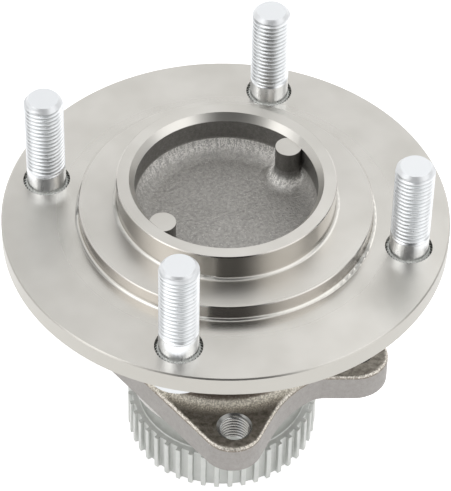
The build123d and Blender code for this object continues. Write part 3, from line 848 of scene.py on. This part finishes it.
def tooth_outline():
    """(x, y) places and outward normals round the toothed ring, with rounded tooth corners."""
    half = TOOTH_W / 2
    flank = [(-half - TOOTH_FILLET, math.sqrt(ROOT_R ** 2 - half ** 2))]
    for step in range(1, 4):
        turn = step * math.pi / 6
        flank.append((-half - TOOTH_FILLET * (1 - math.sin(turn)),
                      math.sqrt(ROOT_R ** 2 - half ** 2) + TOOTH_FILLET * (1 - math.cos(turn))))
    tip = math.sqrt(TIP_R ** 2 - half ** 2)
    for step in range(4):
        turn = step * math.pi / 6
        flank.append((-half + TOOTH_ROUND * (1 - math.cos(turn)), tip - TOOTH_ROUND * (1 - math.sin(turn))))
    profile = flank + [(0.0, TIP_R)] + [(-u, v) for u, v in reversed(flank)]
    gap = math.pi / TEETH
    edge_turn = math.atan2(half + TOOTH_FILLET, ROOT_R)
    for step in range(1, 5):
        turn = edge_turn + (2 * gap - 2 * edge_turn) * step / 5
        profile.append((ROOT_R * math.sin(turn), ROOT_R * math.cos(turn)))
    places = []
    for tooth in range(TEETH):
        middle = TOOTH_PHASE - 2 * gap * tooth
        cosine, sine = math.cos(middle), math.sin(middle)
        for u, v in profile:
            places.append((v * cosine + u * sine, v * sine - u * cosine))
    places.reverse()
    normals = []
    for i, place in enumerate(places):
        before, after = Vector(places[i - 1]), Vector(places[(i + 1) % len(places)])
        along = (after - before).normalized()
        normals.append((along.y, -along.x))
    return places, normals


def tooth_ring(material):
    """Toothed speed sensor ring with softened tooth edges."""
    places, normals = tooth_outline()
    skin = Skin([math.atan2(y, x) for x, y in places])

    def outline(inset, height):
        skin.loop([(x - inset * nx, y - inset * ny) for (x, y), (nx, ny) in zip(places, normals)], height)

    skin.row(INNER_RING_R + EDGE, RING_TOP)
    skin.row(RING_COLLAR_R - EDGE, RING_TOP)
    skin.row(RING_COLLAR_R, RING_TOP - EDGE)
    for step in range(6):
        turn = step * math.pi / 10
        skin.row(RING_COLLAR_R + COLLAR_ROUND * (1 - math.cos(turn)),
                 RIM_Z + COLLAR_ROUND * (1 - math.sin(turn)))
    outline(TOOTH_BREAK, RIM_Z)
    outline(TOOTH_BREAK * 0.3, RIM_Z - TOOTH_BREAK * 0.3)
    outline(0.0, RIM_Z - TOOTH_BREAK)
    outline(0.0, RING_END + TOOTH_BREAK)
    outline(TOOTH_BREAK * 0.3, RING_END + TOOTH_BREAK * 0.3)
    outline(TOOTH_BREAK, RING_END)
    skin.row(SKIRT_IN_R + FINE_EDGE, RING_END)
    skin.row(SKIRT_IN_R, RING_END + FINE_EDGE)
    for step in range(5):
        turn = step * math.pi / 8
        skin.row(SKIRT_IN_R - LEAD * (1 - math.cos(turn)), RIM_Z - WEB_T - LEAD * (1 - math.sin(turn)))
    skin.row(INNER_RING_R, RIM_Z - WEB_T)
    skin.row(INNER_RING_R, RING_TOP - EDGE)
    skin.join_all(closed=True)
    return add_piece(raw_mesh("toothed_ring", skin), material, "hub", "tone_ring")


def place_camera():
    """Camera of the photograph."""
    data = bpy.data.cameras.new("camera")
    data.sensor_width = SENSOR_MM
    data.lens = FOCAL_PX * SENSOR_MM / IMAGE_LONG_PX
    data.clip_start = DISTANCE / 100
    data.clip_end = DISTANCE * 20
    camera = bpy.data.objects.new("camera", data)
    bpy.context.scene.collection.objects.link(camera)
    around = Matrix.Rotation(AZIMUTH, 4, "Z")
    tilt = around @ Matrix.Rotation(math.pi / 2 - ELEVATION, 4, "X") @ Matrix.Rotation(-ROLL, 4, "Z")
    eye = around @ AIM + (tilt @ Vector((0.0, 0.0, DISTANCE)))
    camera.matrix_world = Matrix.Translation(eye) @ tilt
    bpy.context.scene.camera = camera


def place_floor():
    """Pale floor that keeps the shadow and reads white to the camera and in reflections."""
    mesh = bpy.data.meshes.new("floor")
    bowl = bmesh.new()
    bmesh.ops.create_grid(bowl, x_segments=1, y_segments=1, size=FLOOR_HALF)
    bowl.to_mesh(mesh)
    bowl.free()
    material = bpy.data.materials.new("floor_white")
    material.use_nodes = True
    tree = material.node_tree
    tree.nodes.clear()
    path = tree.nodes.new("ShaderNodeLightPath")
    seen = tree.nodes.new("ShaderNodeMath")
    seen.operation = "MAXIMUM"
    tree.links.new(path.outputs["Is Camera Ray"], seen.inputs[0])
    tree.links.new(path.outputs["Is Glossy Ray"], seen.inputs[1])
    clear = tree.nodes.new("ShaderNodeMath")
    clear.operation = "MAXIMUM"
    tree.links.new(seen.outputs[0], clear.inputs[0])
    tree.links.new(path.outputs["Is Transmission Ray"], clear.inputs[1])
    level = tree.nodes.new("ShaderNodeMath")
    level.operation = "MULTIPLY"
    tree.links.new(clear.outputs[0], level.inputs[0])
    level.inputs[1].default_value = FLOOR_GLOW
    glow = tree.nodes.new("ShaderNodeEmission")
    tree.links.new(level.outputs[0], glow.inputs["Strength"])
    matt = tree.nodes.new("ShaderNodeBsdfDiffuse")
    matt.inputs["Color"].default_value = grey(FLOOR_ALBEDO)
    both = tree.nodes.new("ShaderNodeAddShader")
    tree.links.new(glow.outputs[0], both.inputs[0])
    tree.links.new(matt.outputs[0], both.inputs[1])
    output = tree.nodes.new("ShaderNodeOutputMaterial")
    tree.links.new(both.outputs[0], output.inputs[0])
    mesh.materials.append(material)
    floor = bpy.data.objects.new("floor", mesh)
    floor.location.z = cad_box[0].z
    bpy.context.scene.collection.objects.link(floor)


def place_world():
    """Even white studio with softboxes on both sides, and dark stretches of room between and beside them."""
    world = bpy.data.worlds.new("studio")
    bpy.context.scene.world = world
    world.use_nodes = True
    tree = world.node_tree
    tree.nodes.clear()
    where = tree.nodes.new("ShaderNodeTexCoord").outputs["Generated"]
    turned = tree.nodes.new("ShaderNodeVectorRotate")
    turned.rotation_type = "Z_AXIS"
    turned.inputs["Angle"].default_value = -AZIMUTH
    tree.links.new(where, turned.inputs["Vector"])
    split = tree.nodes.new("ShaderNodeSeparateXYZ")
    tree.links.new(turned.outputs[0], split.inputs[0])

    def step(operation, a, b=0.0):
        node = tree.nodes.new("ShaderNodeMath")
        node.operation = operation
        for socket, value in zip(node.inputs, (a, b)):
            if isinstance(value, bpy.types.NodeSocket):
                tree.links.new(value, socket)
            else:
                socket.default_value = value
        return node.outputs[0]

    def ramp(value, low, high):
        node = tree.nodes.new("ShaderNodeMapRange")
        node.interpolation_type = "SMOOTHSTEP"
        tree.links.new(value, node.inputs[0])
        node.inputs[1].default_value = low
        node.inputs[2].default_value = high
        return node.outputs[0]

    aside = step("ARCTAN2", split.outputs[0], step("MULTIPLY", split.outputs[1], -1.0))
    rise = step("ARCSINE", split.outputs[2])
    lit = WORLD_LEVEL
    for *edges, level in CARDS:
        left, right, low, high = [[math.radians(e) for e in edges[i:i + 2]] for i in (0, 2, 4, 6)]
        wide = step("MULTIPLY", ramp(aside, *left), step("SUBTRACT", 1.0, ramp(aside, *right)))
        tall = step("MULTIPLY", ramp(rise, *low), step("SUBTRACT", 1.0, ramp(rise, *high)))
        lit = step("ADD", lit, step("MULTIPLY", step("MULTIPLY", wide, tall), step("SUBTRACT", level, lit)))
    path = tree.nodes.new("ShaderNodeLightPath")
    pick = tree.nodes.new("ShaderNodeMix")
    tree.links.new(path.outputs["Is Camera Ray"], pick.inputs[0])
    tree.links.new(lit, pick.inputs[2])
    pick.inputs[3].default_value = 1.0
    background = tree.nodes.new("ShaderNodeBackground")
    background.inputs["Color"].default_value = grey(1.0)
    tree.links.new(pick.outputs[0], background.inputs["Strength"])
    output = tree.nodes.new("ShaderNodeOutputWorld")
    tree.links.new(background.outputs[0], output.inputs[0])


def place_lamp(name, azimuth_deg, elevation_deg, distance, size, power):
    """Soft square lamp aimed at the object; azimuth is from the camera's side, to the right."""
    data = bpy.data.lights.new(name, "AREA")
    data.size = size
    data.energy = power
    lamp = bpy.data.objects.new(name, data)
    side = math.radians(azimuth_deg)
    up = math.radians(elevation_deg)
    towards = Vector((math.sin(side) * math.cos(up), -math.cos(side) * math.cos(up), math.sin(up)))
    towards = Matrix.Rotation(AZIMUTH, 3, "Z") @ towards
    lamp.location = towards * distance
    lamp.rotation_mode = "QUATERNION"
    lamp.rotation_quaternion = towards.to_track_quat("Z", "Y")
    bpy.context.scene.collection.objects.link(lamp)


bpy.context.scene.view_settings.view_transform = "Standard"
place_camera()
place_floor()
place_world()
place_lamp("key", -60.0, 55.0, 1.2, 1.0, 2.5)
place_lamp("fill", 130.0, 50.0, 1.3, 1.0, 2.0)

steel = turned_steel()
polished = polished_steel()
pressed = pressed_steel()
rubber = seal_rubber()
plastic = cage_plastic()
paint("wheel_hub", steel)
paint("inner_ring", polished)
paint("spindle_nut", phosphate_steel())
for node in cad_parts:
    if "_ball_" in node:
        paint(node, polished)
    elif node.endswith("_cage"):
        paint(node, plastic)
    elif node.endswith("_lip"):
        paint(node, rubber)
    elif node.endswith("_case") or node.endswith("_slinger"):
        paint(node, pressed)
threaded_studs(zinc_plate())
forged_ring(forged_steel())
tooth_ring(ring_steel())
